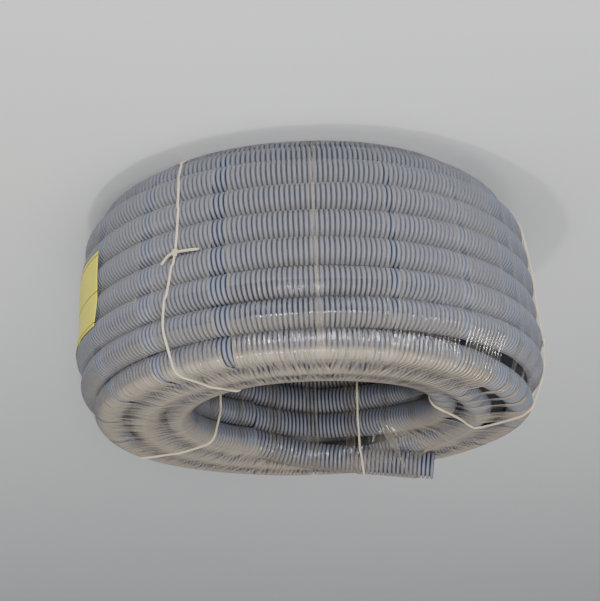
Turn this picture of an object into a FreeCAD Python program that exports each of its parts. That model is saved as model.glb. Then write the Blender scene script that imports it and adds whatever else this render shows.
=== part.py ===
# Coil of corrugated plastic conduit, tied with twine and wrapped in stretch film.
# Millimetres. +Z is the coil's axis, the origin is the centre of the face that it lies on.
# Azimuths are degrees round +Z from +X, and the photograph looks along +Y.
import FreeCAD
import Part
import math
import os

from FreeCAD import Vector

# The conduit: outside over the corrugations, clear bore and the corrugations themselves.
conduit_od = 32.0
conduit_bore = 24.6
wall_thickness = 0.75
corrugation_pitch = 5.0
crest_width = 2.5
flank_width = 0.6

# The wound coil, by the centres of its outermost turns.
row_pitch = 31.5
eye_pitch = 31.8
eye_radius = 133.5
shoulder_radius = 224.5
wall_leans = (24.5, 14.0, -4.5, -5.0, -8.5, -15.0, -39.0, -55.5)
face_pitch = 37.5
top_crown = 3.0

# The free end, which climbs out of the innermost top turn and leaves it straight.
tail_start = 60.0
tail_leave = 94.0
tail_climb = 0.21
tail_slope = 0.143
tail_plain = 73.0
tail_open = 60.0
tail_sunk = 0.6

# Stretch film, hand wrapped through the eye in bands that part on the outer wall.
film_thickness = 0.5
film_clearance = 0.3
film_bands = 18
first_gap = -30.0
gap_width = 19.0
gap_apex_radius = 221.0
gap_exceptions = {3: 0.0, 4: 8.0}
tail_hole_clearance = 1.3

# Twine ties under the film.
twine_od = 2.8
twine_clearance = 0.3
twine_bite = 3.15
twine_groove = 0.25
tie_azimuths = {
    "twine_tie_front_right": -58.0,
    "twine_tie_back_right": 33.0,
    "twine_tie_back_left": 115.0,
    "twine_tie_front_left": -167.0,
}

# Blank label on the film.
label_height = 86.0
label_width = 120.0
label_thickness = 0.25
label_clearance = 0.1
label_azimuth = -17.0
label_middle = 137.0

turn_radius = conduit_od / 2.0
film_build = film_clearance + film_thickness
film_offset = turn_radius + film_build
base_height = film_offset
twine_radius = twine_od / 2.0


def point(radius, height, azimuth=0.0):
    """A point from its radius, height and azimuth."""
    angle = math.radians(azimuth)
    return Vector(radius * math.cos(angle), radius * math.sin(angle), height)


def wall_turns():
    """Centres of the turns down the outer wall, from the shoulder to the lowest one."""
    places = [(shoulder_radius, 0.0)]
    for lean in wall_leans:
        radius, height = places[-1]
        angle = math.radians(lean)
        places.append((radius + row_pitch * math.sin(angle), height - row_pitch * math.cos(angle)))
    drop = places[-1][1]
    return [(radius, height - drop + base_height) for radius, height in places]


def skin_turns():
    """Centres of every turn that shows, in order round the section: down the outer wall, up the eye, over the top."""
    outer = wall_turns()
    inner_radius = eye_radius + turn_radius
    shoulder_height = outer[0][1]
    rows = int((shoulder_height - base_height) / eye_pitch)
    inner = [(inner_radius, base_height + eye_pitch * row) for row in range(rows + 1)]
    span = shoulder_radius - inner_radius
    drop = shoulder_height - inner[-1][1]
    steps = round(span / face_pitch)
    shares = [step / steps for step in range(1, steps)]
    top = [
        (inner_radius + span * share, inner[-1][1] + drop * share + top_crown * math.sin(math.pi * share))
        for share in shares
    ]
    return outer + inner + top


def outward(first, second):
    """Unit normal of the line from one turn to the next, pointing out of the section."""
    length = math.hypot(second[0] - first[0], second[1] - first[1])
    return (-(second[1] - first[1]) / length, (second[0] - first[0]) / length)


def scalloped_wire(turns):
    """Closed outline of the section: an arc over each turn, and a floor between turns that don't touch."""
    count = len(turns)
    starts, ends = [], []
    for index in range(count):
        first, second = turns[index], turns[(index + 1) % count]
        normal = outward(first, second)
        along = (normal[1], -normal[0])
        reach = min(math.hypot(second[0] - first[0], second[1] - first[1]) / 2.0, turn_radius)
        height = math.sqrt(turn_radius**2 - reach**2)
        ends.append(tuple(first[axis] + reach * along[axis] + height * normal[axis] for axis in (0, 1)))
        starts.append(tuple(second[axis] - reach * along[axis] + height * normal[axis] for axis in (0, 1)))
    edges = []
    for index in range(count):
        before = outward(turns[index - 1], turns[index])
        after = outward(turns[index], turns[(index + 1) % count])
        middle = (before[0] + after[0], before[1] + after[1])
        length = math.hypot(*middle)
        crest = tuple(turns[index][axis] + turn_radius * middle[axis] / length for axis in (0, 1))
        edges.append(Part.Arc(point(*starts[index - 1]), point(*crest), point(*ends[index])).toShape())
        if math.dist(ends[index], starts[index]) > 0.01:
            edges.append(Part.makeLine(point(*ends[index]), point(*starts[index])))
    return Part.Wire(edges)


def hull(places):
    """Convex hull of points of the section, in order."""
    ordered = sorted(set(places))

    def half(sequence):
        chain = []
        for place in sequence:
            while len(chain) > 1:
                (ax, ay), (bx, by) = chain[-2], chain[-1]
                if (bx - ax) * (place[1] - ay) - (by - ay) * (place[0] - ax) > 1e-9:
                    break
                chain.pop()
            chain.append(place)
        return chain[:-1]

    return half(ordered) + half(ordered[::-1])


def taut_wire(turns, offset):
    """Closed line pulled taut round the section, offset from the turns' centres: straights and arcs."""
    corners = hull(turns)[::-1]
    count = len(corners)
    normals = [outward(corners[index], corners[(index + 1) % count]) for index in range(count)]
    edges = []
    for index in range(count):
        corner = corners[index]
        before, after = normals[index - 1], normals[index]
        middle = (before[0] + after[0], before[1] + after[1])
        length = math.hypot(*middle)
        start = point(corner[0] + offset * before[0], corner[1] + offset * before[1])
        crest = point(corner[0] + offset * middle[0] / length, corner[1] + offset * middle[1] / length)
        end = point(corner[0] + offset * after[0], corner[1] + offset * after[1])
        edges.append(Part.Arc(start, crest, end).toShape())
        following = corners[(index + 1) % count]
        next_start = point(following[0] + offset * after[0], following[1] + offset * after[1])
        edges.append(Part.makeLine(end, next_start))
    return Part.Wire(edges)


def turned(*wires):
    """The solid that a closed section, less any inner ones, makes when it is turned about the coil's axis."""
    section = Part.makeFace(list(wires), "Part::FaceMakerBullseye")
    return section.revolve(Vector(0, 0, 0), Vector(0, 0, 1), 360.0)


def swept_round(path, radius):
    """A round solid of that radius along a path of straights and arcs, or a helix."""
    edge = path.Edges[0]
    direction = edge.tangentAt(edge.FirstParameter)
    circle = Part.Wire(Part.makeCircle(radius, edge.valueAt(edge.FirstParameter), direction))
    return path.makePipeShell([circle], True, False)


def carved(shape, tools):
    """A shape less each tool in turn."""
    for tool in tools:
        shape = shape.cut(tool)
    return shape


def tail_places():
    """Innermost top turn, and the point and direction in which the free end leaves it."""
    inner_radius, start_height = max(skin_turns(), key=lambda turn: (turn[0] < eye_radius + row_pitch, turn[1]))
    arc = inner_radius * math.radians(tail_leave - tail_start)
    leave = point(inner_radius, start_height + tail_climb * arc, tail_leave)
    heading = point(1.0, 0.0, tail_leave + 90.0) + Vector(0, 0, tail_slope)
    heading.normalize()
    return inner_radius, start_height, leave, heading


def tail_climb_path():
    """Helix of the free end from where it is sunk in the top turn to where it leaves straight."""
    inner_radius, start_height, leave, _ = tail_places()
    rise = leave.z - start_height
    pitch = 2.0 * math.pi * inner_radius * tail_climb
    helix = Part.makeHelix(pitch, rise, inner_radius)
    helix.rotate(Vector(0, 0, 0), Vector(0, 0, 1), tail_start)
    helix.translate(Vector(0, 0, start_height))
    return helix


def along_tail(distance):
    """A point of the free end's straight, by its distance from where it leaves the circle."""
    _, _, leave, heading = tail_places()
    return leave + heading * distance


def corrugated_end():
    """The end of the conduit as a hollow corrugated tube, turned about its own axis, mouth at the far end."""
    heading = tail_places()[3]
    root_radius = conduit_bore / 2.0 + wall_thickness
    count = round(tail_open / corrugation_pitch)
    root_width = corrugation_pitch - crest_width - 2.0 * flank_width
    outside = []
    inside = []
    for index in range(count):
        z = index * corrugation_pitch
        rise = z + root_width / 2.0
        fall = rise + 2.0 * flank_width + crest_width
        outside += [
            (root_radius, rise),
            (turn_radius, rise + flank_width),
            (turn_radius, fall - flank_width),
            (root_radius, fall),
        ]
        inside += [
            (root_radius - wall_thickness, rise + wall_thickness / 2.0),
            (turn_radius - wall_thickness, rise + flank_width + wall_thickness / 2.0),
            (turn_radius - wall_thickness, fall - flank_width - wall_thickness / 2.0),
            (root_radius - wall_thickness, fall - wall_thickness / 2.0),
        ]
    outside[:2] = [(0.0, 0.0), (turn_radius, 0.0)]
    inside[:2] = [(0.0, wall_thickness), (turn_radius - wall_thickness, wall_thickness)]
    length = count * corrugation_pitch
    outline = outside + [(root_radius, length), (root_radius - wall_thickness, length)] + inside[::-1]
    points = [Vector(radius, 0.0, z) for radius, z in outline]
    face = Part.Face(Part.makePolygon(points + points[:1]))
    tube = face.revolve(Vector(0, 0, 0), Vector(0, 0, 1), 360.0)
    tube.Placement = FreeCAD.Placement(along_tail(tail_plain), FreeCAD.Rotation(Vector(0, 0, 1), heading))
    return tube


def tie(azimuth, extra=0.0):
    """A loop of twine pulled taut round the section at an azimuth, or that loop grown by extra.

    It bites into the turns round the eye and into those that the coil lies on, which stay flat.
    """
    least_radius = eye_radius + turn_radius + twine_bite
    least_height = base_height + twine_bite
    turns = [(max(radius, least_radius), max(height, least_height)) for radius, height in skin_turns()]
    loop = swept_round(taut_wire(turns, turn_radius + twine_clearance + twine_radius), twine_radius + extra)
    loop.rotate(Vector(0, 0, 0), Vector(0, 0, 1), azimuth)
    return loop


def conduit():
    """The conduit: its wound turns as one turned solid, with the free end that climbs out of it."""
    wound = turned(scalloped_wire(skin_turns()))
    heading = tail_places()[3]
    bed = Part.makeCylinder(turn_radius - tail_sunk, tail_open + row_pitch, along_tail(tail_plain), heading)
    climb = swept_round(tail_climb_path(), turn_radius - tail_sunk)
    straight = Part.makeCylinder(turn_radius - tail_sunk, tail_plain, along_tail(0.0), heading)
    grooves = [tie(azimuth, twine_groove) for azimuth in tie_azimuths.values()]
    return carved(wound.cut(bed).fuse([climb, straight]), grooves).fuse(corrugated_end())


def gap_cutter(index):
    """The wedge between two bands of film, or nothing where they lap."""
    width = gap_exceptions.get(index, gap_width)
    if width <= 0.0:
        return None
    reach = shoulder_radius + 3.0 * row_pitch
    outer_radius = max(radius for radius, _ in wall_turns()) + film_offset
    half = width / 2.0 * (reach - gap_apex_radius) / (outer_radius - gap_apex_radius)
    below = -row_pitch
    plan = [Vector(gap_apex_radius, 0, below), Vector(reach, -half, below), Vector(reach, half, below)]
    top_height = wall_turns()[0][1] + 3.0 * row_pitch
    wedge = Part.Face(Part.makePolygon(plan + plan[:1])).extrude(Vector(0, 0, top_height - below))
    wedge.rotate(Vector(0, 0, 0), Vector(0, 0, 1), first_gap - index * 360.0 / film_bands)
    return wedge


def stretch_film():
    """The film: a taut skin with ridges over the ties, gaps between its bands and a hole for the free end."""
    turns = skin_turns()
    inside = taut_wire(turns, turn_radius + film_clearance)
    ridges = [tie(azimuth, twine_clearance + film_thickness) for azimuth in tie_azimuths.values()]
    filling = turned(inside)
    skin = turned(taut_wire(turns, film_offset), inside).fuse([ridge.cut(filling) for ridge in ridges])
    hole_radius = turn_radius + tail_hole_clearance
    hole_length = tail_plain + tail_open + tail_hole_clearance
    cutters = [tie(azimuth, twine_clearance) for azimuth in tie_azimuths.values()]
    cutters += [wedge for wedge in map(gap_cutter, range(film_bands)) if wedge is not None]
    cutters.append(swept_round(tail_climb_path(), hole_radius))
    cutters.append(Part.makeCylinder(hole_radius, hole_length, along_tail(0.0), tail_places()[3]))
    return carved(skin, cutters)


def label():
    """The blank label, a thin sheet that follows the film's outside."""
    turns = skin_turns()
    inner_offset = film_offset + label_clearance
    sheet = turned(taut_wire(turns, inner_offset + label_thickness), taut_wire(turns, inner_offset))
    outer_radius = max(radius for radius, _ in wall_turns()) + film_offset
    half_angle = math.degrees(label_width / outer_radius) / 2.0
    window = Part.makeCylinder(
        outer_radius + row_pitch, label_height, Vector(0, 0, label_middle - label_height / 2.0),
        Vector(0, 0, 1), 2.0 * half_angle,
    )
    window.rotate(Vector(0, 0, 0), Vector(0, 0, 1), label_azimuth - half_angle)
    window = window.cut(Part.makeCylinder(shoulder_radius, 4.0 * outer_radius, Vector(0, 0, -outer_radius)))
    return sheet.common(window)


def main():
    """Builds each piece and writes it under its own name."""
    os.makedirs("parts", exist_ok=True)
    pieces = {"conduit": conduit(), "stretch_film": stretch_film(), "label": label()}
    for name, azimuth in tie_azimuths.items():
        pieces[name] = tie(azimuth)
    for name, shape in pieces.items():
        box = shape.BoundBox
        print(name, shape.ShapeType, len(shape.Solids), shape.isValid(), round(shape.Volume),
              [round(value, 1) for value in (box.XMin, box.XMax, box.YMin, box.YMax, box.ZMin, box.ZMax)])
        Part.Compound(shape.Solids).exportStep(f"parts/{name}.step")


main()
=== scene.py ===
"""Looks of a coil of corrugated conduit: ribbed turns, clear stretch film, twine ties and a blank label.

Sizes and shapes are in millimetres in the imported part's own frame, +Z up, and become metres when a mesh is
made. Azimuths are angles round +Z from +X. A section is the plane through the axis, with radius and height.
"""

import logging
import math
from dataclasses import dataclass, field
from enum import Enum

import bpy
import numpy as np
from mathutils import Matrix


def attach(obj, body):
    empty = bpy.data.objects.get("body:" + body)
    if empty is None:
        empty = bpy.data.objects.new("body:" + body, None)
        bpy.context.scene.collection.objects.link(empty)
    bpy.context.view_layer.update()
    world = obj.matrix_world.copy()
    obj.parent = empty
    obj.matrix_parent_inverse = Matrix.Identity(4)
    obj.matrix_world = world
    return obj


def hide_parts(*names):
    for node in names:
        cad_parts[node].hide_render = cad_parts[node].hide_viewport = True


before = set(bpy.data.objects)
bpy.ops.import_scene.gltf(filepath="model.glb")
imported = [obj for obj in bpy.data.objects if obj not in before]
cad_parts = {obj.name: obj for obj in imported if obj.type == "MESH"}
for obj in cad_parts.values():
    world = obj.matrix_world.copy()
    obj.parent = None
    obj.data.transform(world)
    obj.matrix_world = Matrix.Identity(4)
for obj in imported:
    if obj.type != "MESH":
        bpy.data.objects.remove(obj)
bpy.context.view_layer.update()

log = logging.getLogger("conduit_coil")
Array = np.ndarray
Tree = bpy.types.NodeTree
Socket = bpy.types.NodeSocket
# In metres.
MILLIMETRE = 0.001
FULL_TURN = 2.0 * math.pi
# The scale at which a wave texture repeats once in each unit of its place.
WAVE_REPEAT = math.pi / 10.0


class Slot(Enum):
    """The record's material slots."""

    CONDUIT = "conduit_plastic"
    FILM = "clear_film"
    LABEL = "label_paper"
    TWINE = "twine"


def linear(colour: str) -> tuple[float, float, float, float]:
    """Turns an sRGB hex colour to linear light.

    Args:
        colour: six hex digits.

    Returns:
        Red, green, blue and an alpha of 1.
    """
    parts = [int(colour[i : i + 2], 16) / 255.0 for i in (0, 2, 4)]
    red, green, blue = (p / 12.92 if p <= 0.04045 else ((p + 0.055) / 1.055) ** 2.4 for p in parts)
    return red, green, blue, 1.0


def per_metre(size: float) -> float:
    """Scale of a pattern whose features are that size in millimetres."""
    return 1.0 / (size * MILLIMETRE)


def node(
    tree: Tree,
    kind: str,
    inputs: dict | None = None,
    stops: tuple[tuple[float, float], ...] = (),
    **settings: object,
) -> bpy.types.Node:
    """Adds a node with its settings, values and links.

    Args:
        tree: the material's node tree.
        kind: the node's type, without its ShaderNode prefix.
        inputs: socket name or number to a value, or to the output socket that feeds it.
        stops: a ramp's grey stops, two or more pairs of place and value.
        settings: the node's own properties.

    Returns:
        The new node.
    """
    made = tree.nodes.new("ShaderNode" + kind)
    for name, value in settings.items():
        setattr(made, name, value)
    for key, value in (inputs or {}).items():
        if isinstance(value, Socket):
            tree.links.new(value, made.inputs[key])
        else:
            made.inputs[key].default_value = value
    if stops:
        elements = made.color_ramp.elements
        while len(elements) < len(stops):
            elements.new(0.5)
        for element, (place, value) in zip(elements, stops):
            element.position = place
            element.color = (value, value, value, 1.0)
    return made


def smooth(values: Array) -> Array:
    """Eases values from 0 to 1: three times the square less twice the cube, held outside that range."""
    held = np.clip(values, 0.0, 1.0)
    return held * held * (3.0 - 2.0 * held)


def unit(vectors: Array) -> Array:
    """Vectors scaled to length 1 along their last axis."""
    return vectors / np.maximum(np.linalg.norm(vectors, axis=-1, keepdims=True), 1e-12)


def outward(first: Array, second: Array) -> Array:
    """Unit normal, pointing out of the section, of the line from one turn's centre to the next one's."""
    run = unit(second - first)
    return np.stack([-run[..., 1], run[..., 0]], axis=-1)


def placed(radius: Array, height: Array, azimuth: Array) -> Array:
    """Points from radius, height and azimuth in radians: radius times cosine and sine, and the height."""
    return np.stack(np.broadcast_arrays(radius * np.cos(azimuth), radius * np.sin(azimuth), height), axis=-1)


@dataclass
class Grid:
    """A surface as rows and columns of points, in millimetres, with what its material reads at each."""

    points: Array
    joins_rows: bool = False
    joins_columns: bool = False
    flipped: bool = False
    uv: Array | None = None
    marks: dict[str, Array] = field(default_factory=dict)

    def faces(self) -> Array:
        """Point numbers of each square between neighbouring rows and columns, reversed if flipped."""
        rows, columns = self.points.shape[:2]
        number = np.arange(rows * columns).reshape(rows, columns)
        if self.joins_rows:
            number = np.concatenate([number, number[:1]])
        if self.joins_columns:
            number = np.concatenate([number, number[:, :1]], axis=1)
        corners = [number[:-1, :-1], number[1:, :-1], number[1:, 1:], number[:-1, 1:]]
        squares = np.stack([corner.ravel() for corner in corners], axis=1)
        return squares[:, ::-1] if self.flipped else squares


def build(
    name: str, grids: list[Grid], finish: "Finish", replaced: tuple[str, ...]
) -> bpy.types.Object:
    """Makes one piece from grids, dresses it and lets it ride on the coil.

    Args:
        name: the piece's name.
        grids: its surfaces; all have UVs or none has, and all have the same marks.
        finish: what it is made of.
        replaced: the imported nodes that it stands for.

    Returns:
        The new object.
    """
    starts = np.cumsum([0] + [grid.points[..., 0].size for grid in grids])
    points = np.concatenate([grid.points.reshape(-1, 3) for grid in grids]) * MILLIMETRE
    faces = np.concatenate([grid.faces() + start for grid, start in zip(grids, starts)])
    mesh = bpy.data.meshes.new(name)
    mesh.from_pydata(points, [], faces)
    mesh.polygons.foreach_set("use_smooth", np.ones(len(faces), dtype=bool))
    if grids[0].uv is not None:
        flat = np.concatenate([grid.uv.reshape(-1, 2) for grid in grids]) * MILLIMETRE
        corner_points = np.empty(len(mesh.loops), dtype=np.int64)
        mesh.loops.foreach_get("vertex_index", corner_points)
        layer = mesh.uv_layers.new(name="UVMap")
        layer.data.foreach_set("uv", flat[corner_points].astype(np.float32).ravel())
    for mark in grids[0].marks:
        spread = [np.broadcast_to(grid.marks[mark], grid.points.shape[:2]).ravel() for grid in grids]
        values = np.concatenate(spread).astype(np.float32)
        mesh.attributes.new(mark, "FLOAT", "POINT").data.foreach_set("value", values)
    mesh.materials.append(finish.material())
    made = bpy.data.objects.new(name, mesh)
    bpy.context.scene.collection.objects.link(made)
    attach(made, "root")
    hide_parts(*replaced)
    log.info("%s: %d faces", name, len(faces))
    return made


@dataclass(frozen=True)
class ConduitStock:
    """The conduit itself: its diameters and the ring that repeats along it."""

    outside: float = 32.0
    bore: float = 24.6
    wall: float = 0.75
    pitch: float = 5.0
    crest: float = 2.5
    flank: float = 0.6

    @property
    def radius(self) -> float:
        """Outside radius over the crests."""
        return self.outside / 2.0

    @property
    def root(self) -> float:
        """Outside radius in the grooves."""
        return self.bore / 2.0 + self.wall

    def stations(self, count: int) -> tuple[Array, Array, Array]:
        """Places along a run of ribs: each rib's crest starts and ends, then its groove starts and ends.

        Args:
            count: number of ribs.

        Returns:
            Distance along the run, in pitches, the tube's radius there, and its depth in a groove, 0 or 1.
        """
        corners = np.array([0.0, self.crest, self.crest + self.flank, self.pitch - self.flank]) / self.pitch
        along = (np.arange(count)[:, None] + corners).ravel()
        deep = np.tile([0.0, 0.0, 1.0, 1.0], count)
        return along, self.radius + (self.root - self.radius) * deep, deep


@dataclass(frozen=True)
class Finish:
    """What a piece is made of; a child class draws its nodes once and every piece of it shares them."""

    name: str

    def material(self) -> bpy.types.Material:
        """The finish's material, drawn the first time it is asked for."""
        ready = bpy.data.materials.get(self.name)
        if ready is None:
            ready = bpy.data.materials.new(self.name)
            ready.use_nodes = True
            ready.node_tree.nodes.clear()
            output = node(ready.node_tree, "OutputMaterial")
            ready.node_tree.links.new(self.surface(ready.node_tree), output.inputs["Surface"])
        return ready

    def surface(self, tree: Tree) -> Socket:
        """The shader that the surface shows."""
        raise NotImplementedError


@dataclass(frozen=True)
class CorrugatedPvc(Finish):
    """Rigid PVC blown into rings against a chilled mould: an even satin grey; painted shade darkens the
    grooves.

    Warehouse dust dulls the crests that face up, which is what makes the upper turns look browner.
    """

    name: str = "corrugated_pvc"
    crest: str = "757a88"
    groove_shade: str = "171a30"
    dust: str = "a1988b"
    most_dust: float = 0.55
    cloud_size: float = 71.4
    grain_size: float = 1.11
    grain_depth: float = 0.2
    ior: float = 1.53

    def surface(self, tree: Tree) -> Socket:
        """The shader that the surface shows."""
        place = node(tree, "TexCoord").outputs["Object"]
        clouds = {"Vector": place, "Scale": per_metre(self.cloud_size), "Detail": 5.0}
        cloud = node(tree, "TexNoise", clouds).outputs["Fac"]
        grains = {"Vector": place, "Scale": per_metre(self.grain_size), "Detail": 2.0}
        fine = node(tree, "TexNoise", grains).outputs["Fac"]
        # The mesh marks where a groove is; there the colour turns to the groove's painted shade.
        depth = node(tree, "Attribute", attribute_name="groove_shade").outputs["Fac"]
        rings = {"Factor": depth, "A": linear(self.crest), "B": linear(self.groove_shade)}
        shade = node(tree, "Mix", rings, data_type="RGBA").outputs["Result"]
        # Dust lies in patches on what faces up, and less of it in the grooves.
        facing = node(tree, "SeparateXYZ", {0: node(tree, "NewGeometry").outputs["Normal"]}).outputs["Z"]
        levels = {"Value": facing, "From Min": 0.2, "From Max": 1.0, "To Max": self.most_dust}
        lying = node(tree, "MapRange", levels).outputs[0]
        patches = node(tree, "ValToRGB", {"Fac": cloud}, stops=((0.3, 0.35), (0.7, 1.0))).outputs[0]
        patchy = node(tree, "Math", {0: lying, 1: patches}, operation="MULTIPLY").outputs[0]
        clear = node(tree, "MapRange", {"Value": depth, "To Min": 1.0, "To Max": 0.35}).outputs[0]
        dusty = node(tree, "Math", {0: patchy, 1: clear}, operation="MULTIPLY").outputs[0]
        cover = {"Factor": dusty, "A": shade, "B": linear(self.dust)}
        relief = {"Height": fine, "Strength": 0.12, "Distance": self.grain_depth * MILLIMETRE}
        skin = {
            "Base Color": node(tree, "Mix", cover, data_type="RGBA").outputs["Result"],
            "Roughness": node(tree, "MapRange", {"Value": cloud, "To Min": 0.34, "To Max": 0.52}).outputs[0],
            "Normal": node(tree, "Bump", relief).outputs[0],
            "IOR": self.ior,
        }
        return node(tree, "BsdfPrincipled", skin).outputs[0]


@dataclass(frozen=True)
class StretchFilm(Finish):
    """Clear stretch film pulled tight by hand: almost unseen on the wall, milky with dust where it is level.

    Its wrinkles run along the pull, its edges roll into pale lines, and it glints on every rib under it.
    Streaks and creases are given by their spacing across the pull and their length along it, and the tight
    and the crumpled relief by their strength and their depth.
    """

    name: str = "stretch_film"
    haze: str = "b3a797"
    clear: str = "fbfaf8"
    streaks: tuple[float, float] = (2.381, 38.46)
    creases: tuple[float, float] = (7.692, 111.1)
    rib_pitch: float = ConduitStock.pitch
    rib_share: float = 0.6
    opening: float = -0.2
    tight: tuple[float, float] = (0.5, 1.1)
    crumpled: tuple[float, float] = (1.0, 2.4)
    gloss_roughness: float = 0.15
    ior: float = 1.5

    def along_pull(self, tree: Tree, size: tuple[float, float], detail: float) -> Socket:
        """Noise drawn out along the pull.

        Args:
            tree: the material's node tree.
            size: spacing across the pull and length along it.
            detail: how many finer noises it has in it.

        Returns:
            The noise, about 0 to 1.
        """
        scale = (per_metre(size[0]), per_metre(size[1]), 1.0)
        place = node(tree, "Mapping", {"Vector": node(tree, "UVMap").outputs[0], "Scale": scale}).outputs[0]
        return node(tree, "TexNoise", {"Vector": place, "Scale": 1.0, "Detail": detail}).outputs["Fac"]

    def normal(self, tree: Tree, streaks: Socket) -> Socket:
        """The film's relief: streaks, creases and ribs, deeper where the mesh marks it as crumpled."""
        creases = self.along_pull(tree, self.creases, 4.0)
        scale = (per_metre(self.rib_pitch), 0.0, 0.0)
        place = node(tree, "Mapping", {"Vector": node(tree, "UVMap").outputs[0], "Scale": scale}).outputs[0]
        waves = {"Vector": place, "Scale": WAVE_REPEAT, "Distortion": 0.0}
        ribs = node(tree, "TexWave", waves, wave_profile="SIN").outputs["Fac"]
        wrinkles = node(tree, "Math", {0: streaks, 1: creases}, operation="ADD").outputs[0]
        heights = {0: ribs, 1: self.rib_share, 2: wrinkles}
        # The film is tight on the wall, and crumpled where the winding is loose and over the free end.
        loose = node(tree, "Attribute", attribute_name="crumpled").outputs["Fac"]
        pulls = {"Value": loose, "To Min": self.tight[0], "To Max": self.crumpled[0]}
        shallow, deep = (pair[1] * MILLIMETRE for pair in (self.tight, self.crumpled))
        depth = node(tree, "MapRange", {"Value": loose, "To Min": shallow, "To Max": deep}).outputs[0]
        relief = {
            "Height": node(tree, "Math", heights, operation="MULTIPLY_ADD").outputs[0],
            "Strength": node(tree, "MapRange", pulls).outputs[0],
            "Distance": depth,
        }
        return node(tree, "Bump", relief).outputs[0]

    def surface(self, tree: Tree) -> Socket:
        """The shader that the surface shows."""
        streaks = self.along_pull(tree, self.streaks, 3.0)
        # Where the film spans two turns it has less dust on it, and its streaks open up to the dark below.
        spanning = node(tree, "Attribute", attribute_name="spanning").outputs["Fac"]
        thinning = {0: spanning, 1: self.opening, 2: streaks}
        thinned = node(tree, "Math", thinning, operation="MULTIPLY_ADD").outputs[0]
        gaps = ((0.24, 0.0), (0.38, 0.55), (0.52, 0.92), (0.7, 1.0))
        torn = node(tree, "ValToRGB", {"Fac": thinned}, stops=gaps).outputs[0]
        amount = node(tree, "Attribute", attribute_name="haze").outputs["Fac"]
        haze = node(tree, "Math", {0: amount, 1: torn}, operation="MULTIPLY", use_clamp=True).outputs[0]
        normal = self.normal(tree, streaks)
        clear = node(tree, "BsdfTransparent", {"Color": linear(self.clear)}).outputs[0]
        milky = node(tree, "BsdfDiffuse", {"Color": linear(self.haze), "Normal": normal}).outputs[0]
        body = node(tree, "MixShader", {0: haze, 1: clear, 2: milky}).outputs[0]
        glossy = {"Color": linear("ffffff"), "Roughness": self.gloss_roughness, "Normal": normal}
        edge_on = node(tree, "Fresnel", {"IOR": self.ior, "Normal": normal}).outputs[0]
        # Many thin laps scatter what one sheet would mirror, so the shine stays low even edge on.
        shines = ((0.0, 0.0), (0.05, 0.08), (0.3, 0.1), (1.0, 0.13))
        shine = node(tree, "ValToRGB", {"Fac": edge_on}, stops=shines).outputs[0]
        gloss = node(tree, "BsdfGlossy", glossy).outputs[0]
        return node(tree, "MixShader", {0: shine, 1: body, 2: gloss}).outputs[0]


@dataclass(frozen=True)
class PolyTwine(Finish):
    """Cream twine of split polypropylene film, twisted from three strands: pale, fibrous, slightly waxy."""

    name: str = "split_film_twine"
    pale: str = "e6dcc3"
    shaded: str = "b9a887"
    fibre_size: float = 0.714
    stain_size: float = 16.7
    fibre_depth: float = 0.2

    def surface(self, tree: Tree) -> Socket:
        """The shader that the surface shows."""
        place = node(tree, "TexCoord").outputs["Object"]
        fine = {"Vector": place, "Scale": per_metre(self.fibre_size), "Detail": 3.0}
        fibres = node(tree, "TexNoise", fine).outputs["Fac"]
        broad = {"Vector": place, "Scale": per_metre(self.stain_size), "Detail": 3.0}
        stains = node(tree, "TexNoise", broad).outputs["Fac"]
        both = node(tree, "Math", {0: fibres, 1: stains}, operation="MULTIPLY").outputs[0]
        clean = node(tree, "ValToRGB", {"Fac": both}, stops=((0.1, 0.0), (0.42, 1.0))).outputs[0]
        shades = {"Factor": clean, "A": linear(self.shaded), "B": linear(self.pale)}
        relief = {"Height": fibres, "Strength": 0.4, "Distance": self.fibre_depth * MILLIMETRE}
        skin = {
            "Base Color": node(tree, "Mix", shades, data_type="RGBA").outputs["Result"],
            "Roughness": node(tree, "ValToRGB", {"Fac": fibres}, stops=((0.0, 0.5), (1.0, 0.75))).outputs[0],
            "Normal": node(tree, "Bump", relief).outputs[0],
            "Sheen Weight": 0.3,
        }
        return node(tree, "BsdfPrincipled", skin).outputs[0]


@dataclass(frozen=True)
class CoatedPaper(Finish):
    """Yellow coated label paper, printed only with thin dark rules: flat, faintly glossy, a bit scuffed."""

    name: str = "coated_label_paper"
    paper: str = "f5ec00"
    scuff: str = "c7c27a"
    rule: str = "2c2d24"
    rules: tuple[float, ...] = (4.0, 46.0, 82.0)
    rule_width: float = 1.4
    scuff_size: float = 18.2
    scuff_depth: float = 1.0

    def surface(self, tree: Tree) -> Socket:
        """The shader that the surface shows."""
        place = node(tree, "UVMap").outputs[0]
        across = node(tree, "SeparateXYZ", {0: place}).outputs["Y"]
        clouds = {"Vector": place, "Scale": per_metre(self.scuff_size), "Detail": 5.0}
        cloud = node(tree, "TexNoise", clouds).outputs["Fac"]
        ink: Socket | float = 0.0
        for height in self.rules:
            near = {0: across, 1: height * MILLIMETRE, 2: self.rule_width / 2.0 * MILLIMETRE}
            line = node(tree, "Math", near, operation="COMPARE").outputs[0]
            ink = node(tree, "Math", {0: ink, 1: line}, operation="MAXIMUM").outputs[0]
        worn = node(tree, "ValToRGB", {"Fac": cloud}, stops=((0.55, 0.0), (0.75, 0.2))).outputs[0]
        papers = {"Factor": worn, "A": linear(self.paper), "B": linear(self.scuff)}
        scuffed = node(tree, "Mix", papers, data_type="RGBA").outputs["Result"]
        printed = {"Factor": ink, "A": scuffed, "B": linear(self.rule)}
        relief = {"Height": cloud, "Strength": 0.1, "Distance": self.scuff_depth * MILLIMETRE}
        skin = {
            "Base Color": node(tree, "Mix", printed, data_type="RGBA").outputs["Result"],
            "Roughness": node(tree, "ValToRGB", {"Fac": cloud}, stops=((0.2, 0.32), (0.8, 0.5))).outputs[0],
            "Normal": node(tree, "Bump", relief).outputs[0],
        }
        return node(tree, "BsdfPrincipled", skin).outputs[0]


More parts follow.
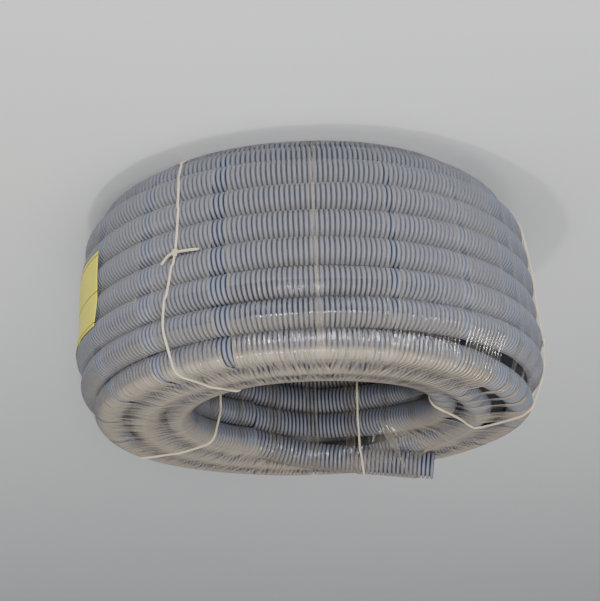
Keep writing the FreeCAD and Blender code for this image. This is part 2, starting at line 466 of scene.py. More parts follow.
@dataclass(frozen=True)
class PaintedFloor(Finish):
    """A pale painted studio floor, matt, with the faintest unevenness."""

    name: str = "painted_floor"
    darker: str = "f4f4f4"
    lighter: str = "fafafa"
    cloud_size: float = 500.0

    def surface(self, tree: Tree) -> Socket:
        """The shader that the surface shows."""
        place = node(tree, "TexCoord").outputs["Object"]
        clouds = {"Vector": place, "Scale": per_metre(self.cloud_size), "Detail": 3.0}
        cloud = node(tree, "TexNoise", clouds).outputs["Fac"]
        shades = {"Factor": cloud, "A": linear(self.darker), "B": linear(self.lighter)}
        colour = node(tree, "Mix", shades, data_type="RGBA").outputs["Result"]
        skin = {"Base Color": colour, "Roughness": 0.9, "Specular IOR Level": 0.1}
        return node(tree, "BsdfPrincipled", skin).outputs[0]


@dataclass(frozen=True)
class CoilSection:
    """Where the outermost turns lie, in the order down the outer wall, up the eye and over the top.

    A wall lean is an angle in degrees from straight down, outward, at which the next turn lies. A slack shift
    is a turn, and how far it moves out and up in the loose stretch. A flank bulge is a turn, and how far it
    moves out at -X and at +X, because the coil isn't round.
    """

    stock: ConduitStock = ConduitStock()
    row_pitch: float = 31.5
    eye_pitch: float = 31.8
    eye_turn_radius: float = 149.5
    shoulder_radius: float = 224.5
    wall_leans: tuple[float, ...] = (24.5, 14.0, -4.5, -5.0, -8.5, -15.0, -39.0, -55.5)
    base_height: float = 16.8
    middle_turn: tuple[float, float] = (187.0, 244.1)
    eye_rows: int = 8
    shoulder: int = 0
    crossover_start: float = 200.0
    crossover_end: float = 60.0
    crossover_lift: float = 0.28
    crossover_lift_azimuth: float = 92.0
    pushed_aside: float = 22.0
    film_sinks_from: float = 95.0
    film_sinks_over: float = 45.0
    wander: float = 0.3
    wander_orders: tuple[int, ...] = (2, 3, 5)
    wander_inward: float = 2.0
    wander_seed: int = 7
    slack_azimuth: float = -156.0
    slack_spread: float = 20.0
    slack_shifts: tuple[tuple[int, float, float], ...] = (
        (0, -4.0, 7.0),
        (1, 2.0, -2.0),
        (17, -4.0, 4.0),
        (16, 0.0, -3.0),
    )
    flank_sharpness: float = 1.2
    flank_bulges: tuple[tuple[int, float, float], ...] = (
        (0, 8.0, 2.0),
        (1, 5.0, 4.0),
        (4, 1.0, 2.0),
        (5, 3.0, 6.0),
        (6, 6.0, 10.0),
        (7, 9.0, 14.0),
        (8, 9.0, 14.0),
    )

    @property
    def lowest(self) -> int:
        """Number of the lowest turn of the outer wall."""
        return len(self.wall_leans)

    @property
    def eye_top(self) -> int:
        """Number of the top turn of the eye."""
        return self.lowest + self.eye_rows

    def centres(self) -> Array:
        """Centres of the turns as radius and height; a wall turn is a row pitch off the last, at its lean."""
        leans = np.radians(self.wall_leans)
        steps = self.row_pitch * np.stack([np.sin(leans), -np.cos(leans)], axis=1)
        wall = np.concatenate([[[0.0, 0.0]], np.cumsum(steps, axis=0)])
        wall += [self.shoulder_radius, self.base_height - wall[-1, 1]]
        heights = self.base_height + self.eye_pitch * np.arange(self.eye_rows)
        eye = np.stack([np.full(self.eye_rows, self.eye_turn_radius), heights], axis=1)
        return np.concatenate([wall, eye, [self.middle_turn]])

    def crossover(self, azimuth: Array) -> Array:
        """Share of a row that the eye's turns have dropped, all of it between the crossover's azimuths."""
        gone = np.mod(math.radians(self.crossover_end) - azimuth, FULL_TURN)
        start = math.radians(self.crossover_end + 360.0 - self.crossover_start)
        return smooth((gone - start) / (FULL_TURN - start))

    @staticmethod
    def bell(azimuth: Array, middle: float, spread: float) -> Array:
        """A bell curve of the azimuth round a middle, both of its numbers in degrees."""
        off = np.mod(azimuth - math.radians(middle) + math.pi, FULL_TURN) - math.pi
        return np.exp(-0.5 * (off / math.radians(spread)) ** 2)

    def centres_at(self, azimuth: Array, crossing: bool = True) -> Array:
        """Centres of the turns at some azimuths, with their wander, slack, bulges and crossover.

        Each turn wanders by a sum of sines of the azimuth with its own phases, except those on the ground.

        Args:
            azimuth: azimuths in radians, of any shape.
            crossing: True for the conduit, whose eye turns drop a row; False for what lies over it.

        Returns:
            Turns first, then the azimuths' shape, then radius and height.
        """
        base = self.centres()
        random = np.random.default_rng(self.wander_seed)
        phases = random.uniform(0.0, FULL_TURN, (len(base), 2, len(self.wander_orders)))
        each = (slice(None),) + (None,) * azimuth.ndim

        def waves(axis: int) -> Array:
            """Sum of the sines that move each turn along one axis of the section."""
            orders = enumerate(self.wander_orders)
            return sum(np.sin(order * azimuth + phases[each + (axis, place)]) for place, order in orders)

        free = np.where(base[:, 1] > self.base_height + 1.0, self.wander, 0.0)[each]
        radius = base[:, 0][each] + free * (waves(0) - self.wander_inward)
        height = base[:, 1][each] + free * waves(1)
        loose = self.bell(azimuth, self.slack_azimuth, self.slack_spread)
        for turn, sideways, up in self.slack_shifts:
            radius[turn] += sideways * loose
            height[turn] += up * loose
        flank = np.abs(np.cos(azimuth)) ** self.flank_sharpness
        to_right = 0.5 + 0.5 * np.cos(azimuth)
        for turn, left, right in self.flank_bulges:
            radius[turn] += (left + (right - left) * to_right) * flank
        lifted = self.crossover_lift * self.bell(azimuth, self.crossover_lift_azimuth, self.slack_spread)
        drop = self.crossover(azimuth) * (1.0 - lifted)
        if crossing:
            height[self.lowest + 2 : self.eye_top + 1] -= self.eye_pitch * drop
            radius[self.lowest + 1] += self.pushed_aside * drop
        else:
            past = np.mod(np.degrees(azimuth), 360.0) - self.film_sinks_from
            height[self.eye_top] -= self.eye_pitch * drop * smooth(past / self.film_sinks_over)
        return np.stack([radius, height], axis=-1)


@dataclass(frozen=True)
class SkinPath:
    """A line drawn round the section over its turns: an arc over each turn and a straight to the next.

    The plain azimuth, in radians, is one at which lengths are measured, away from the crossover.
    """

    section: CoilSection
    arc_points: int = 3
    span_points: int = 4
    least_turning: float = 0.03
    plain_azimuth: float = -0.5

    def samples(self) -> tuple[Array, Array, Array]:
        """Each sample's turn, and its share of the arc over it and of the straight after it.

        The last sample meets the first.
        """
        turns = len(self.section.centres())
        arc = np.linspace(0.0, 1.0, self.arc_points)
        span = np.linspace(0.0, 1.0, self.span_points + 2)[1:-1]
        arc_share = np.concatenate([arc, np.ones(self.span_points)])
        span_share = np.concatenate([np.zeros(self.arc_points), span])
        turn = np.append(np.repeat(np.arange(turns), self.arc_points + self.span_points), turns)
        return turn, np.append(np.tile(arc_share, turns), 0.0), np.append(np.tile(span_share, turns), 0.0)

    def over(
        self, azimuth: Array, offset: float | Array, sag: float | Array = 0.0
    ) -> tuple[Array, Array, Array]:
        """The line at given azimuths.

        Over a turn, a point is its centre plus the offset along a normal that turns from the last straight's
        to the next one's, or by least_turning about the middle one where the turn lies in a hollow. Between
        turns the line is straight, less a sag that is the square of a sine.

        Args:
            azimuth: azimuths in radians, with the path's samples as the last axis.
            offset: distance from the turns' centres.
            sag: how far the line dips halfway between two turns.

        Returns:
            Radius, height and the normal as radius and height, each with the shape of azimuth.
        """
        turn, arc, span = self.samples()
        centres = self.section.centres_at(azimuth, crossing=False)

        def centre(shift: int) -> Array:
            """Centre of the turn that many places after each sample's own."""
            numbers = (turn + shift) % len(centres)
            return np.take_along_axis(centres, numbers.reshape((1,) * azimuth.ndim + (-1, 1)), axis=0)[0]

        def normals(before: Array, here: Array, after: Array) -> tuple[Array, Array]:
            """Normals at which the line meets a turn and leaves it."""
            last, following = outward(before, here), outward(here, after)
            turning = last[..., 1] * following[..., 0] - last[..., 0] * following[..., 1]
            hollow = (turning < 2.0 * self.least_turning)[..., None]
            middle = unit(last + following)
            along = self.least_turning * np.stack([middle[..., 1], -middle[..., 0]], axis=-1)
            return np.where(hollow, middle - along, last), np.where(hollow, middle + along, following)

        before, here, after, beyond = (centre(shift) for shift in (-1, 0, 1, 2))
        meets, leaves = normals(before, here, after)
        meets_next = normals(here, after, beyond)[0]
        arc, span = arc[:, None], span[:, None]
        over_turn = unit(meets * (1.0 - arc) + leaves * arc)
        normal = unit(over_turn * (1.0 - span) + meets_next * span)
        reach = np.asarray(offset)[..., None]
        start, finish = here + reach * over_turn, after + reach * meets_next
        dip = np.asarray(sag)[..., None] * np.sin(math.pi * span) ** 2
        point = start * (1.0 - span) + finish * span - dip * normal
        return point[..., 0], point[..., 1], normal

    def lengths(self, offset: float) -> tuple[Array, Array]:
        """Distance along the line, and its radius, at each sample at the plain azimuth."""
        count = len(self.samples()[0])
        radius, height, _ = self.over(np.full(count, self.plain_azimuth), np.full(count, offset))
        steps = np.hypot(np.diff(radius), np.diff(height))
        return np.concatenate([[0.0], np.cumsum(steps)]), radius


@dataclass(frozen=True)
class FreeEnd:
    """The conduit's end: it climbs off the eye's top turn, leaves it straight and stops with an open mouth.

    The start, the start of the climb and the place where it leaves are azimuths in degrees. The climb and the
    slope are its rise for each millimetre along the round and the straight part.
    """

    section: CoilSection
    start: float = 54.0
    climb_from: float = 60.0
    leave: float = 94.0
    climb: float = 0.21
    climb_rounding: float = 6.0
    slope: float = 0.143
    straight: float = 133.0
    drape_share: float = 0.8
    drape_slope: float = 1.5
    drape_fade: float = 12.0
    drape_depth: float = 6.0
    line_points: int = 90

    @property
    def round_length(self) -> float:
        """Length of the part that is still round the eye."""
        return self.section.eye_turn_radius * math.radians(self.leave - self.start)

    @property
    def length(self) -> float:
        """Length of the centre line."""
        return self.round_length + self.straight

    @property
    def eye_top_height(self) -> float:
        """Height of the centre of the eye's top turn."""
        return self.section.centres()[self.section.eye_top, 1]

    def line(self, distance: Array) -> Array:
        """Centre line by distance from its start: round the eye with a rise, then straight on and up.

        Args:
            distance: distances in millimetres.

        Returns:
            Points along the last axis.
        """
        radius = self.section.eye_turn_radius
        level = radius * math.radians(self.climb_from - self.start)
        along = np.minimum(distance, self.round_length)
        azimuth = math.radians(self.start) + along / radius
        rounding = self.climb_rounding
        rise = self.climb * (np.hypot(along - level, rounding) + along - level - rounding) / 2.0
        round_part = placed(np.full_like(along, radius), self.eye_top_height + rise, azimuth)
        beyond = np.maximum(distance - self.round_length, 0.0)[..., None]
        leave = math.radians(self.leave)
        heading = np.array([-math.sin(leave), math.cos(leave), self.slope])
        return round_part + beyond * unit(heading)

    def bump(self, points: Array, reach: float, until: float) -> Array:
        """Lifts points that lie over the free end on to it, by a circle's height and straight sides.

        Args:
            points: points of a skin, in millimetres.
            reach: the skin's distance from the centre line.
            until: how far along the free end the skin covers it.

        Returns:
            The points, lifted where the free end is under them.
        """
        distance = np.linspace(0.0, self.length, self.line_points)
        line = self.line(distance)
        flat = points.reshape(-1, 3)
        apart = np.hypot(flat[:, None, 0] - line[None, :, 0], flat[:, None, 1] - line[None, :, 1])
        nearest = apart.argmin(axis=1)
        aside = apart[np.arange(len(flat)), nearest]
        covered = smooth((until - distance[nearest]) / self.drape_fade)
        edge = self.drape_share * reach
        circle = np.sqrt(np.maximum(reach**2 - aside**2, 0.0))
        side = math.sqrt(reach**2 - edge**2) - self.drape_slope * (aside - edge)
        top = line[nearest, 2] + np.where(aside < edge, circle, side)
        above = flat[:, 2] > self.eye_top_height - self.drape_depth
        lifted = np.maximum(flat[:, 2], flat[:, 2] + (top - flat[:, 2]) * covered)
        height = np.where(above, lifted, flat[:, 2])
        return np.concatenate([flat[:, :2], height[:, None]], axis=1).reshape(points.shape)


@dataclass(frozen=True)
class ConduitCoil:
    """The conduit: every turn that shows, the free end and a plain body for the turns inside.

    A facing is an angle in the section in degrees, 0 outward and 90 up, that the middle of a turn's shown
    side faces. The shown spread is how far the shown side reaches both ways from there.
    """

    section: CoilSection
    free_end: FreeEnd
    finish: CorrugatedPvc = CorrugatedPvc()
    # Nearly black colours for the hidden body: painted shade between the turns.
    shaded: CorrugatedPvc = CorrugatedPvc("corrugated_pvc_painted_shade", "1b1c24", "14151c", "1e1d1c")
    wall_facings: tuple[float, ...] = (45.0, 15.0, 5.0, 0.0, 0.0, -5.0, -15.0, -40.0, -60.0)
    eye_facings: tuple[float, ...] = (-135.0, 180.0, 180.0, 180.0, 180.0, 180.0, 180.0, 140.0)
    middle_facing: float = 90.0
    shown_spread: float = 112.0
    upper_rows: int = 5
    round_points: int = 15
    ring_points: int = 28
    bore_ribs: int = 16
    bore_shade: float = 0.8
    hidden_radius: float = 3.0
    hidden_steps: int = 120
    hair: float = 1e-6

    def turn(self, number: int, facing: float) -> Grid:
        """One ribbed turn, on the side of its section that shows.

        A point is the turn's centre at its azimuth plus the rib's radius at an angle in the section. A turn
        that crosses over has its ends a hair to each side of the crossover's end.

        Args:
            number: the turn's number in the section.
            facing: where the middle of that side faces.

        Returns:
            The turn's surface.
        """
        stock = self.section.stock
        radius = self.section.centres()[number, 0]
        count = round(FULL_TURN * radius / stock.pitch)
        along, tube, deep = stock.stations(count)
        crossing = self.section.lowest < number <= self.section.eye_top
        azimuth = math.radians(self.section.crossover_end) - along / count * FULL_TURN - self.hair
        if crossing:
            azimuth = np.append(azimuth, azimuth[0] - FULL_TURN + 2.0 * self.hair)
            tube, deep = np.append(tube, tube[0]), np.append(deep, deep[0])
        centre = self.section.centres_at(azimuth)[number]
        first, last = facing - self.shown_spread, facing + self.shown_spread
        angle = np.radians(np.linspace(first, last, self.round_points))
        reach = centre[:, 0, None] + tube[:, None] * np.cos(angle)
        height = centre[:, 1, None] + tube[:, None] * np.sin(angle)
        points = placed(reach, height, azimuth[:, None])
        marks = {"groove_shade": deep[:, None]}
        return Grid(points, joins_rows=not crossing, joins_columns=True, flipped=True, marks=marks)

    def end(self) -> list[Grid]:
        """The free end: its ribbed outside, its ribbed bore and the rim of its mouth.

        Each ring of points is round the centre line, in the plane of a level and an upright line across it.
        """
        stock = self.section.stock
        along, tube, deep = stock.stations(int(self.free_end.length // stock.pitch))
        distance = self.free_end.length - along * stock.pitch
        line = self.free_end.line(distance)
        heading = unit(self.free_end.line(distance + 0.5) - self.free_end.line(distance - 0.5))
        side = unit(np.cross(heading, [0.0, 0.0, 1.0]))
        up = np.cross(side, heading)
        angle = np.linspace(0.0, FULL_TURN, self.ring_points, endpoint=False)[:, None]

        def rings(radius: Array, part: slice) -> Array:
            """Rings of those radii round the centre line."""
            around = np.cos(angle) * side[part, None] + np.sin(angle) * up[part, None]
            return line[part, None] + radius[part, None, None] * around

        # A rib has four stations.
        inside = slice(0, 4 * self.bore_ribs)
        outer = rings(tube, slice(None))
        inner = rings(tube - stock.wall, inside)
        rim = np.stack([outer[0], inner[0]])
        # Inside the bore the colour goes most of the way to the groove's painted shade.
        shade = np.full((len(inner), 1), self.bore_shade)
        return [
            Grid(outer, joins_columns=True, flipped=True, marks={"groove_shade": deep[:, None]}),
            Grid(inner, joins_columns=True, marks={"groove_shade": shade}),
            Grid(rim, joins_columns=True, marks={"groove_shade": np.zeros((2, 1))}),
        ]

    def hidden_turns(self) -> Grid:
        """A plain skin of painted shade inside the turns that show, so nothing is seen through between them.
        """
        azimuth = np.linspace(-math.pi, math.pi, self.hidden_steps, endpoint=False)
        path = SkinPath(self.section, arc_points=2, span_points=1)
        count = len(path.samples()[0])
        level = np.broadcast_to(azimuth[:, None], (len(azimuth), count))
        radius, height, _ = path.over(level, np.full(level.shape, self.hidden_radius))
        points = placed(radius, height, level)[:, :-1]
        # The whole skin takes the full painted shade of a groove.
        marks = {"groove_shade": np.ones((1, 1))}
        return Grid(points, joins_rows=True, joins_columns=True, flipped=True, marks=marks)

    def build(self) -> None:
        """Makes the turns in groups, the free end and the body inside."""
        first_in_eye = self.section.lowest + 1
        wall = list(enumerate(self.wall_facings))
        groups = {
            "conduit_wall_turns_upper": wall[: self.upper_rows],
            "conduit_wall_turns_lower": wall[self.upper_rows :],
            "conduit_eye_turns": list(enumerate(self.eye_facings, start=first_in_eye)),
            "conduit_top_turn": [(self.section.eye_top + 1, self.middle_facing)],
        }
        for name, turns in groups.items():
            grids = [self.turn(number, facing) for number, facing in turns]
            build(name, grids, self.finish, ("conduit",))
        build("conduit_free_end", self.end(), self.finish, ("conduit",))
        build("conduit_hidden_turns", [self.hidden_turns()], self.shaded, ("conduit",))


@dataclass(frozen=True)
class Band:
    """One lap of film: its middle azimuth in degrees and its reach to each side on the outer wall."""

    azimuth: float
    before: float = 35.8
    after: float = 35.8


@dataclass(frozen=True)
class FilmWrap:
    """Hand wrapped stretch film: laps through the eye that overlap inside it and part on the outer wall.

    A haze is the share of a surface that dust makes milky: on the wall, along a lap's edges and lying level.
    """

    section: CoilSection
    free_end: FreeEnd
    finish: StretchFilm = StretchFilm()
    bands: tuple[Band, ...] = (
        Band(-40.0),
        Band(-60.0),
        Band(-80.0, before=57.0),
        Band(-100.0, before=41.0),
        Band(-120.0, after=41.0),
        Band(-138.0, before=22.0),
        Band(-150.0, before=5.0, after=5.0),
        Band(-156.5, before=4.0, after=4.0),
        Band(-164.0, before=6.0, after=6.0),
        Band(-178.0, before=24.0, after=22.0),
        Band(160.0),
        Band(140.0),
        Band(120.0),
        Band(100.0),
        Band(80.0),
        Band(60.0),
        Band(40.0),
        Band(20.0),
        Band(0.0),
        Band(-20.0),
    )
    half_columns: tuple[float, ...] = (0.2, 0.4, 0.6, 0.8, 0.93, 0.985, 1.0)
    arc_points: int = 6
    offset: float = 16.4
    end_offset: float = 17.2
    layer: float = 0.1
    sag: float = 1.1
    necking: float = 0.18
    necking_from: float = 220.0
    necking_over: float = 90.0
    eye_from: float = 160.0
    eye_over: float = 12.0
    wall_haze: float = 0.035
    edge_haze: float = 0.26
    level_haze: float = 1.0
    level_from: float = 0.25
    level_over: float = 0.6
    inner_share: float = 0.5
    edge_from: float = 0.9
    edge_over: float = 0.08
    covered: float = 228.0
    drape_over: float = 4.0
    drape_clears: float = 0.6
    crumpled_azimuth: float = -138.0
    crumpled_spread: float = 24.0
    between_laps: float = 317.0

    def lap(self, number: int) -> Grid:
        """One lap. A point's azimuth is the lap's own plus its place across the lap over the radius there.

        The line round the section gives its radius and height. Laps lie at three heights a layer apart, and
        the middle of each stands another layer proud of its edges.

        Args:
            number: which lap.

        Returns:
            The lap's surface, with the marks haze, spanning and crumpled.
        """
        band = self.bands[number]
        path = SkinPath(self.section, arc_points=self.arc_points)
        length, radius = path.lengths(self.offset)
        half = np.array(self.half_columns)
        across = np.concatenate([-half[::-1], [0.0], half])[:, None]
        narrowing = 1.0 - self.necking * smooth((self.necking_from - radius) / self.necking_over)
        wide = np.where(across < 0.0, band.before, band.after) * narrowing
        # The edges wave by 1 mm and 0.6 mm, every 258 mm and 107 mm along the lap.
        wobble = np.sin(length / 41.0 + 1.7 * number) + 0.6 * np.sin(length / 17.0 + 2.9 * number)
        place = across * wide + wobble * np.abs(across)
        azimuth = math.radians(band.azimuth) + place / radius
        lift = self.layer * (number % 3) + self.layer * (1.0 - across**2)
        eye_wall = smooth((self.eye_from - radius) / self.eye_over)
        reach, height, normal = path.over(azimuth, self.offset + lift, self.sag * (1.0 - eye_wall))
        flat = placed(reach, height, azimuth)
        points = self.free_end.bump(flat, self.end_offset, self.covered)
        draped = smooth((points[..., 2] - flat[..., 2]) / self.drape_over)
        haze = self.dust(across, normal) * (1.0 - self.drape_clears * draped)
        outside = radius > self.eye_from
        loose = self.section.bell(azimuth, self.crumpled_azimuth, self.crumpled_spread) * outside
        marks = {
            "haze": haze,
            "spanning": np.broadcast_to(np.sin(math.pi * path.samples()[2]) ** 2, haze.shape),
            "crumpled": np.maximum(loose, draped),
        }
        uv = np.stack(np.broadcast_arrays(place + self.between_laps * number, length), axis=-1)
        return Grid(points, flipped=True, uv=uv, marks=marks)

    def dust(self, across: Array, normal: Array) -> Array:
        """Haze of a lap: the level one by how far it faces up, less towards the eye, and its edges' own.

        Args:
            across: place across the lap, -1 to 1.
            normal: the film's normal in the section.

        Returns:
            The haze, with the normals' shape.
        """
        level = smooth((normal[..., 1] - self.level_from) / self.level_over)
        inward = smooth(-2.0 * normal[..., 0])
        edge = smooth((np.abs(across) - self.edge_from) / self.edge_over)
        lying = (self.level_haze - self.wall_haze) * level * (1.0 - self.inner_share * inward)
        return self.wall_haze + lying + self.edge_haze * edge

    def build(self) -> None:
        """Makes all the laps as one piece."""
        laps = [self.lap(number) for number in range(len(self.bands))]
        build("stretch_film_laps", laps, self.finish, ("stretch_film",))


@dataclass(frozen=True)
class TwineTie:
    """A loop of twisted twine round the section, with its knot and the knot's tails where they show.

    The azimuths, in degrees, are those at which it passes the stated turns. A tail is how far it reaches
    sideways and up, and how far it bows off the surface. Three strands of these sizes make a twine of 2.8 mm.
    """

    node_name: str
    turns: tuple[float, ...]
    azimuths: tuple[float, ...]
    section: CoilSection
    free_end: FreeEnd
    knot_turn: float | None = None
    knot_size: float = 1.0
    tails: tuple[tuple[float, float, float], ...] = ()
    finish: PolyTwine = PolyTwine()
    lay: float = 9.0
    spacing: float = 1.6
    offset: float = 17.1
    end_offset: float = 18.4
    least_height: float = 2.3
    strand_count: int = 3
    strand_radius: float = 0.756
    strand_offset: float = 0.7
    strand_sides: int = 6
    wall_depth: float = 40.0
    knot_points: int = 60
    tail_points: int = 24

    def line(self) -> tuple[Array, Array]:
        """Centre line of the tie in even steps, and the surface's normal at each point.

        The azimuth at each turn is read between the stated turns, so the tie leans as it was pulled.
        """
        path = SkinPath(self.section, arc_points=7, span_points=5)
        turn, arc, span = path.samples()
        # The arc over a turn takes 0.3 of the way to the next turn, and the straight takes 0.7.
        place = turn - 0.15 * (1.0 - arc) + 0.15 * arc + 0.7 * span
        azimuth = np.radians(np.interp(place, self.turns, self.azimuths, period=len(self.section.centres())))
        radius, height, normal = path.over(azimuth, np.full(azimuth.shape, self.offset))
        whole_end = 2.0 * self.free_end.length
        points = self.free_end.bump(placed(radius, height, azimuth), self.end_offset, whole_end)
        normals = placed(normal[:, 0], normal[:, 1], azimuth)
        points[:, 2] = np.maximum(points[:, 2], self.least_height)
        length = np.concatenate([[0.0], np.cumsum(np.linalg.norm(np.diff(points, axis=0), axis=1))])
        even = np.linspace(0.0, length[-1], int(length[-1] / self.spacing))[:-1]

        def resampled(values: Array) -> Array:
            """Values read at the even distances."""
            return np.stack([np.interp(even, length, values[:, axis]) for axis in range(3)], axis=1)

        return resampled(points), unit(resampled(normals))

    def strands(self, line: Array, normals: Array, closed: bool) -> list[Grid]:
        """Strands that wind round a line: each is offset by a circle that turns once in a lay.

        Args:
            line: points of the twine's centre.
            normals: a direction off the line at each point.
            closed: True if the line's end meets its start.

        Returns:
            One tube for each strand.
        """
        steps = np.linalg.norm(np.diff(line, axis=0), axis=1)
        length = np.concatenate([[0.0], np.cumsum(steps)])
        whole = length[-1] + steps[-1]
        winds = round(whole / self.lay) if closed else whole / self.lay
        if closed:
            heading = unit(np.roll(line, -1, axis=0) - np.roll(line, 1, axis=0))
        else:
            heading = unit(np.gradient(line, axis=0))
        side = unit(np.cross(heading, normals))
        up = np.cross(side, heading)
        angle = np.linspace(0.0, FULL_TURN, self.strand_sides, endpoint=False)[:, None]
        grids = []
        for strand in range(self.strand_count):
            turned = (FULL_TURN * (winds * length / whole + strand / self.strand_count))[:, None]
            centre = line + self.strand_offset * (np.cos(turned) * side + np.sin(turned) * up)
            around = np.cos(angle) * side[:, None] + np.sin(angle) * up[:, None]
            tube = centre[:, None] + self.strand_radius * around
            grids.append(Grid(tube, joins_rows=closed, joins_columns=True))
        return grids

    def knot(self, line: Array, normals: Array) -> list[Grid]:
        """The knot and its tails, at the point of the line nearest to the stated turn.

        The knot is a trefoil, in millimetres: a sine plus twice the sine of double the angle, a cosine less
        twice the cosine of double the angle, and the sine of three times the angle. A tail leaves it in a bow
        that follows the round of the coil.

        Args:
            line: points of the tie's centre.
            normals: the surface's normals there.

        Returns:
            Tubes of the knot and of the tails.
        """
        centres = self.section.centres()
        low = int(self.knot_turn)
        target = centres[low] + (centres[low + 1] - centres[low]) * (self.knot_turn - low)
        outer = np.hypot(line[:, 0], line[:, 1]) > centres[self.section.shoulder, 0] - self.wall_depth
        index = np.argmin(np.where(outer, np.abs(line[:, 2] - target[1]), np.inf))
        middle, out = line[index], normals[index]
        along = unit(line[(index + 3) % len(line)] - line[index - 3])
        across = np.cross(out, along)
        bend = np.linspace(0.0, FULL_TURN, self.knot_points, endpoint=False)[:, None]
        sideways = (np.sin(bend) + 2.0 * np.sin(2.0 * bend)) * across
        lengthways = (np.cos(bend) - 2.0 * np.cos(2.0 * bend)) * along
        off = (0.6 - 0.8 * np.sin(3.0 * bend)) * out
        trefoil = middle + self.knot_size * (sideways + lengthways + off)
        grids = self.strands(trefoil, np.tile(out, (self.knot_points, 1)), closed=True)
        share = np.linspace(0.0, 1.0, self.tail_points)[:, None]
        for aside, up, bow in self.tails:
            reach = aside * share * across + up * share**1.5 * np.array([0.0, 0.0, 1.0])
            sunk = 0.002 * (aside * share) ** 2
            off = (0.8 * self.knot_size + bow * np.sin(math.pi * share) - sunk) * out
            grids += self.strands(middle + reach + off, np.tile(out, (self.tail_points, 1)), closed=False)
        return grids

    def build(self) -> None:
        """Makes the loop, with its knot where it has one."""
        line, normals = self.line()
        grids = self.strands(line, normals, closed=True)
        if self.knot_turn is not None:
            grids += self.knot(line, normals)
        build(self.node_name + "_strands", grids, self.finish, (self.node_name,))


@dataclass(frozen=True)
class WallLabel:
    """The blank label stuck on the film, which follows the wall's curve.

    Its azimuth is in degrees. The wall azimuth, at which the wall's shape is read, is in radians.
    """

    section: CoilSection
    finish: CoatedPaper = CoatedPaper()
    azimuth: float = -17.0
    wall_azimuth: float = -0.3
    width: float = 120.0
    height: float = 86.0
    thickness: float = 0.2
    middle: float = 137.0
    offset: float = 17.05
    cockle: float = 0.12
    cockle_waves: tuple[float, float] = (9.0, 13.0)
    rows: int = 30
    columns: int = 36

    def build(self) -> None:
        """Makes the label as a sheet whose radius is the wall's at each height, with a slight cockle."""
        path = SkinPath(self.section)
        count = len(path.samples()[0])
        radius, height, _ = path.over(np.full(count, self.wall_azimuth), np.full(count, self.offset))
        wall = slice(0, (path.arc_points + path.span_points) * self.section.lowest)
        level = np.linspace(-self.height / 2.0, self.height / 2.0, self.rows)
        across = np.linspace(-self.width / 2.0, self.width / 2.0, self.columns)[:, None]
        # The wall's samples go down, and a table to read from has to go up.
        reach = np.interp(-(level + self.middle), -height[wall], radius[wall])
        cockle = self.cockle * np.sin(across / self.cockle_waves[0]) * np.sin(level / self.cockle_waves[1])
        azimuth = math.radians(self.azimuth) + across / reach.max()
        points = placed(reach + cockle, level + self.middle, azimuth)
        uv = np.stack(np.broadcast_arrays(across + self.width / 2.0, level + self.height / 2.0), axis=-1)
        made = build("label_sheet", [Grid(points, flipped=True, uv=uv)], self.finish, ("label",))
        paper = made.modifiers.new("paper", "SOLIDIFY")
        paper.thickness = self.thickness * MILLIMETRE
        paper.offset = 1.0


@dataclass(frozen=True)
class Light:
    """A square soft light: its place and side in metres, its power in watts, and if the film mirrors it."""

    name: str
    place: tuple[float, float, float]
    side: float
    power: float
    glints: bool


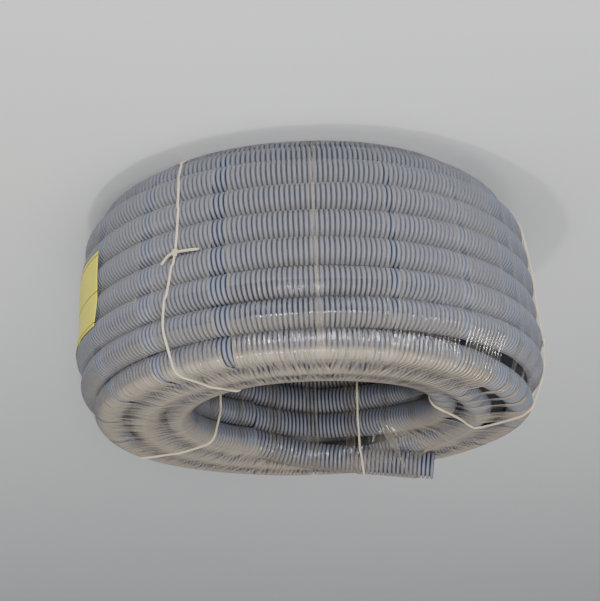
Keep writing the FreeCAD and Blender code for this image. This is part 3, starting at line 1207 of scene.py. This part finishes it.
@dataclass(frozen=True)
class Studio:
    """The floor, the lights and the camera of the photograph.

    The photograph was turned by half a turn after it was taken, so the camera looks down on the coil and is
    rolled by nearly half a turn. The focal length and the centre are in pixels, and angles in degrees.
    """

    distance: float = 1914.0
    elevation: float = 20.115
    target_height: float = 126.0
    focal_pixels: float = 1676.1
    centre: tuple[float, float] = (292.12, 289.32)
    roll: float = -2.378
    picture: tuple[int, int] = (600, 601)
    lights: tuple[Light, ...] = (
        Light("ceiling_light", (0.0, -1.0, 2.6), 1.8, 18.0, False),
        Light("front_light", (-0.5, -3.0, 0.85), 1.2, 68.0, False),
        Light("window_light", (-0.2, -3.0, 1.11), 0.2, 34.0, True),
        Light("lamp_light", (0.3, -1.0, 2.2), 0.12, 9.0, True),
    )
    aim: tuple[float, float, float] = (0.0, 0.0, 0.12)
    air: str = "f4f6fa"
    air_strength: float = 0.27
    floor_reach: float = 9000.0
    floor_level_until: float = 4000.0
    floor_rise: float = 6000.0
    floor_points: int = 40

    @staticmethod
    def put(
        name: str, data: bpy.types.ID, axes: tuple[Array, Array, Array], place: Array
    ) -> bpy.types.Object:
        """Adds a camera or a light that looks against the last of three axes.

        Args:
            name: its name.
            data: the camera or the light.
            axes: directions to its right, its top and its back.
            place: where it is, in metres.

        Returns:
            The new object.
        """
        made = bpy.data.objects.new(name, data)
        bpy.context.scene.collection.objects.link(made)
        rows = [[*axis, offset] for axis, offset in zip(np.stack(axes, axis=1), place)]
        made.matrix_world = Matrix([*rows, [0.0, 0.0, 0.0, 1.0]])
        return made

    def camera(self) -> None:
        """Makes the camera from its fitted place, roll, focal length and the picture's centre."""
        lift = math.radians(self.elevation)
        turn = math.radians(self.roll)
        right = np.array([1.0, 0.0, 0.0])
        up = np.array([0.0, math.sin(lift), math.cos(lift)])
        back = np.array([0.0, -math.cos(lift), math.sin(lift)])
        picture_right = -math.cos(turn) * right - math.sin(turn) * up
        picture_up = math.sin(turn) * right - math.cos(turn) * up
        place = (np.array([0.0, 0.0, self.target_height]) + self.distance * back) * MILLIMETRE
        data = bpy.data.cameras.new("photo_camera")
        wide, high = self.picture
        long_side = max(wide, high)
        data.sensor_width = 36.0
        data.lens = self.focal_pixels / long_side * data.sensor_width
        data.shift_x = (self.centre[0] - wide / 2.0) / long_side
        data.shift_y = (high / 2.0 - self.centre[1]) / long_side
        data.clip_start, data.clip_end = 0.05, 50.0
        bpy.context.scene.camera = self.put("photo_camera", data, (picture_right, picture_up, back), place)

    def hang(self, light: Light) -> None:
        """Adds a light that looks at the coil."""
        data = bpy.data.lights.new(light.name, "AREA")
        data.size = light.side
        data.energy = light.power
        back = unit(np.array(light.place) - self.aim)
        # The small number keeps the sideways direction defined for a light right overhead.
        right = unit(np.cross([0.0, 1.0, 1e-3], back))
        made = self.put(light.name, data, (right, np.cross(back, right), back), light.place)
        made.visible_glossy = light.glints

    def floor(self) -> None:
        """Makes a broad pale floor that rises gently far behind, as a square of its distance."""
        along = np.linspace(-self.floor_reach, self.floor_reach, self.floor_points)
        across = along[:, None]
        rise = np.maximum(along - self.floor_level_until, 0.0) ** 2 / self.floor_rise
        grid = Grid(np.stack(np.broadcast_arrays(across, along, rise), axis=-1))
        mesh = bpy.data.meshes.new("studio_floor")
        mesh.from_pydata(grid.points.reshape(-1, 3) * MILLIMETRE, [], grid.faces())
        mesh.polygons.foreach_set("use_smooth", np.ones(len(mesh.polygons), dtype=bool))
        mesh.materials.append(PaintedFloor().material())
        made = bpy.data.objects.new("studio_floor", mesh)
        bpy.context.scene.collection.objects.link(made)

    def build(self) -> None:
        """Makes the camera, the floor, the lights and the room's even light."""
        self.camera()
        self.floor()
        for light in self.lights:
            self.hang(light)
        world = bpy.data.worlds.new("studio_air")
        world.use_nodes = True
        background = world.node_tree.nodes["Background"]
        background.inputs["Color"].default_value = linear(self.air)
        background.inputs["Strength"].default_value = self.air_strength
        bpy.context.scene.world = world


def main() -> None:
    """Builds the studio and the coil's pieces in order."""
    logging.basicConfig(level=logging.INFO, format="%(message)s")
    Studio().build()
    section = CoilSection()
    free_end = FreeEnd(section)
    ConduitCoil(section, free_end).build()
    ties = (
        TwineTie(
            "twine_tie_front_right",
            (0.0, 1.3, 2.4, 3.5, 4.9, 6.0, 7.0, 8.0, 9.0, 12.0, 16.6, 17.4),
            (-55.0, -55.2, -57.6, -59.3, -59.6, -58.6, -55.5, -50.5, -52.0, -58.0, -57.2, -56.4),
            section,
            free_end,
            knot_turn=3.45,
            tails=((-29.0, -1.0, 0.8), (17.0, 11.0, 0.8)),
        ),
        TwineTie(
            "twine_tie_back_right",
            (0.0, 4.0, 8.0, 13.0, 15.3, 15.9, 16.5, 17.3),
            (29.0, 30.0, 32.0, 36.5, 36.5, 32.0, 31.5, 30.0),
            section,
            free_end,
        ),
        TwineTie(
            "twine_tie_back_left",
            (0.0, 4.0, 8.0, 13.0, 15.5, 16.0, 16.6, 17.6),
            (106.5, 108.0, 112.0, 115.0, 114.2, 114.5, 111.0, 107.0),
            section,
            free_end,
        ),
        TwineTie(
            "twine_tie_front_left",
            (0.0, 0.7, 1.6, 2.8, 8.0, 13.0, 16.1, 16.5, 16.8, 17.2, 17.6),
            (185.0, 182.0, 188.0, 192.0, 192.0, 189.0, 187.0, 179.0, 171.5, 169.5, 177.5),
            section,
            free_end,
            knot_turn=1.93,
            knot_size=0.5,
            tails=((7.0, 5.0, 0.1), (-6.0, 6.0, 0.1)),
        ),
    )
    for tie in ties:
        tie.build()
    FilmWrap(section, free_end).build()
    WallLabel(section).build()


if __name__ == "__main__":
    main()
